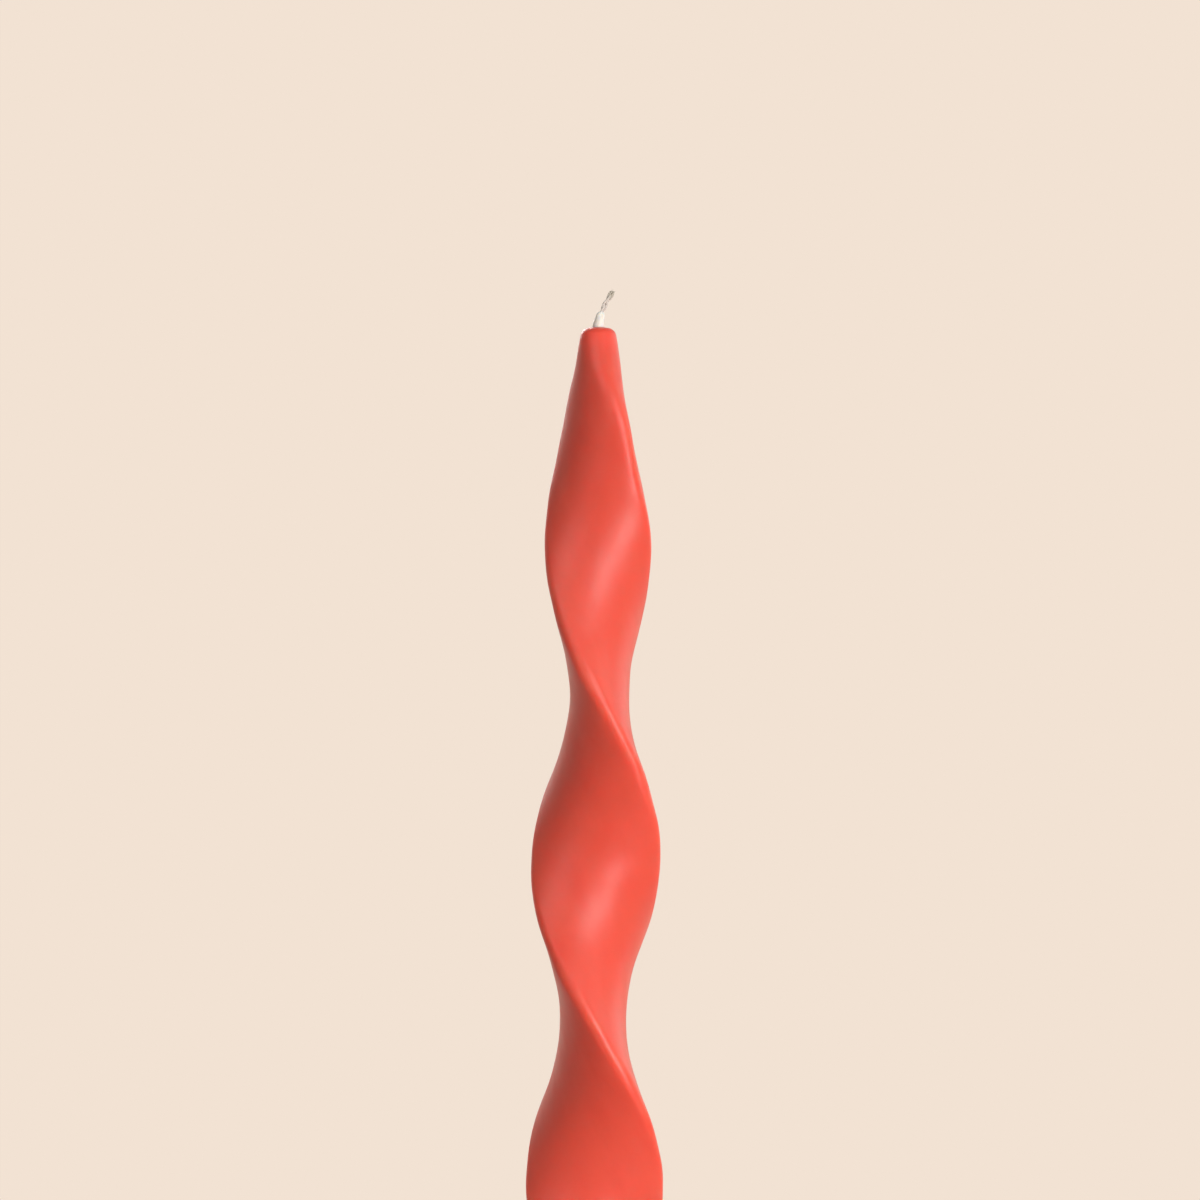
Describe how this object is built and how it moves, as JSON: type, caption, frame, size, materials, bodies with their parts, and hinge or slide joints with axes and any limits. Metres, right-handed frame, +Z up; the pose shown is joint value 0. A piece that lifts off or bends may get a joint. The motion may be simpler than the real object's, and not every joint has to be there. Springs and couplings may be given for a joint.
{
  "type": "spiral taper candle",
  "caption": "Taper candle with a round foot and a flattened body twisted into a left-handed spiral: red wax coat, white wax core, primed and plaited cotton wick.",
  "frame": {"origin": "middle of the flat underside of the foot, on the surface the candle stands on", "axes": "+Z up along the candle, -Y towards the picture's camera, +X to the right, where the end of the wick leans"},
  "size_m": [0.0315, 0.0316, 0.2986],
  "materials": {
    "red_wax": "satin wax, smooth from dipping, slightly translucent",
    "white_wax": "undyed wax, translucent",
    "cotton": "plaited cotton yarn, stiff with wax"
  },
  "bodies": {
    "root": {"colour_coat": "red_wax", "wax_core": "white_wax", "priming_wax": "white_wax", "wick_strand_1": "cotton", "wick_strand_2": "cotton", "wick_strand_3": "cotton"}
  },
  "joints": []
}
